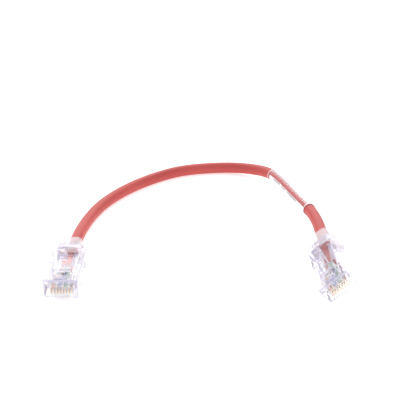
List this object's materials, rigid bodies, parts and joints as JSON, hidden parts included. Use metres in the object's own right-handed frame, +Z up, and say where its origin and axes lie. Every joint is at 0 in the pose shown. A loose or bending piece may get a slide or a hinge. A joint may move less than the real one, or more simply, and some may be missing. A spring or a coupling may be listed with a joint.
{
  "type": "ethernet patch cable",
  "caption": "Short round patch cord between two clear modular plugs with spring latches, lying in an arc, with a wrap-around label.",
  "frame": {"origin": "middle of the two plugs' footprint, on the surface the cable lies on", "axes": "+X from the left plug to the right plug, +Y from the plugs' noses towards the arc of the cord, +Z up"},
  "size_m": [0.1048, 0.1006, 0.0141],
  "materials": {
    "plug_clear": "clear moulded polycarbonate, polished",
    "latch_clear": "clear moulded polycarbonate, polished",
    "guide_clear": "clear moulded plastic",
    "clamp_clear": "clear moulded polycarbonate",
    "boot_clear": "clear flexible moulding, glossy",
    "contact_gold": "gold-plated, smooth",
    "bare_copper": "bare copper",
    "jacket_red": "satin PVC jacket",
    "label_white": "matte white vinyl",
    "label_clear": "clear glossy film",
    "wire_white_orange": "white insulation with an orange stripe",
    "wire_orange": "satin insulation",
    "wire_white_green": "white insulation with a green stripe",
    "wire_blue": "satin insulation",
    "wire_white_blue": "white insulation with a blue stripe",
    "wire_green": "satin insulation",
    "wire_white_brown": "white insulation with a brown stripe",
    "wire_brown": "satin insulation"
  },
  "bodies": {
    "cable": {"blue_pair": "wire_blue", "brown_pair": "wire_brown", "green_pair": "wire_green", "jacket": "jacket_red", "label_film": "label_clear", "label_paper": "label_white", "left_boot": "boot_clear", "left_contacts": "contact_gold", "left_copper": "bare_copper", "left_housing": "plug_clear", "left_jacket_clamp": "clamp_clear", "left_wire_blue": "wire_blue", "left_wire_brown": "wire_brown", "left_wire_green": "wire_green", "left_wire_guide": "guide_clear", "left_wire_orange": "wire_orange", "left_wire_white_blue": "wire_white_blue", "left_wire_white_brown": "wire_white_brown", "left_wire_white_green": "wire_white_green", "left_wire_white_orange": "wire_white_orange", "orange_pair": "wire_orange", "right_boot": "boot_clear", "right_contacts": "contact_gold", "right_copper": "bare_copper", "right_housing": "plug_clear", "right_jacket_clamp": "clamp_clear", "right_wire_blue": "wire_blue", "right_wire_brown": "wire_brown", "right_wire_green": "wire_green", "right_wire_guide": "guide_clear", "right_wire_orange": "wire_orange", "right_wire_white_blue": "wire_white_blue", "right_wire_white_brown": "wire_white_brown", "right_wire_white_green": "wire_white_green", "right_wire_white_orange": "wire_white_orange"},
    "left_latch": {"left_latch": "latch_clear"},
    "right_latch": {"right_latch": "latch_clear"}
  },
  "joints": [
    {"name": "left_latch_pivot", "type": "hinge", "parent": "cable", "child": "left_latch", "pos_m": [-0.04652, -0.01308, 0.00795], "axis": [-0.9996, -0.0279, 0], "range_deg": [0, 9], "stiffness_Nm_per_rad": 0.4},
    {"name": "right_latch_pivot", "type": "hinge", "parent": "cable", "child": "right_latch", "pos_m": [0.04375, -0.01482, 0.00892], "axis": [-0.7335, -0.0821, -0.6747], "range_deg": [0, 9], "stiffness_Nm_per_rad": 0.4}
  ]
}
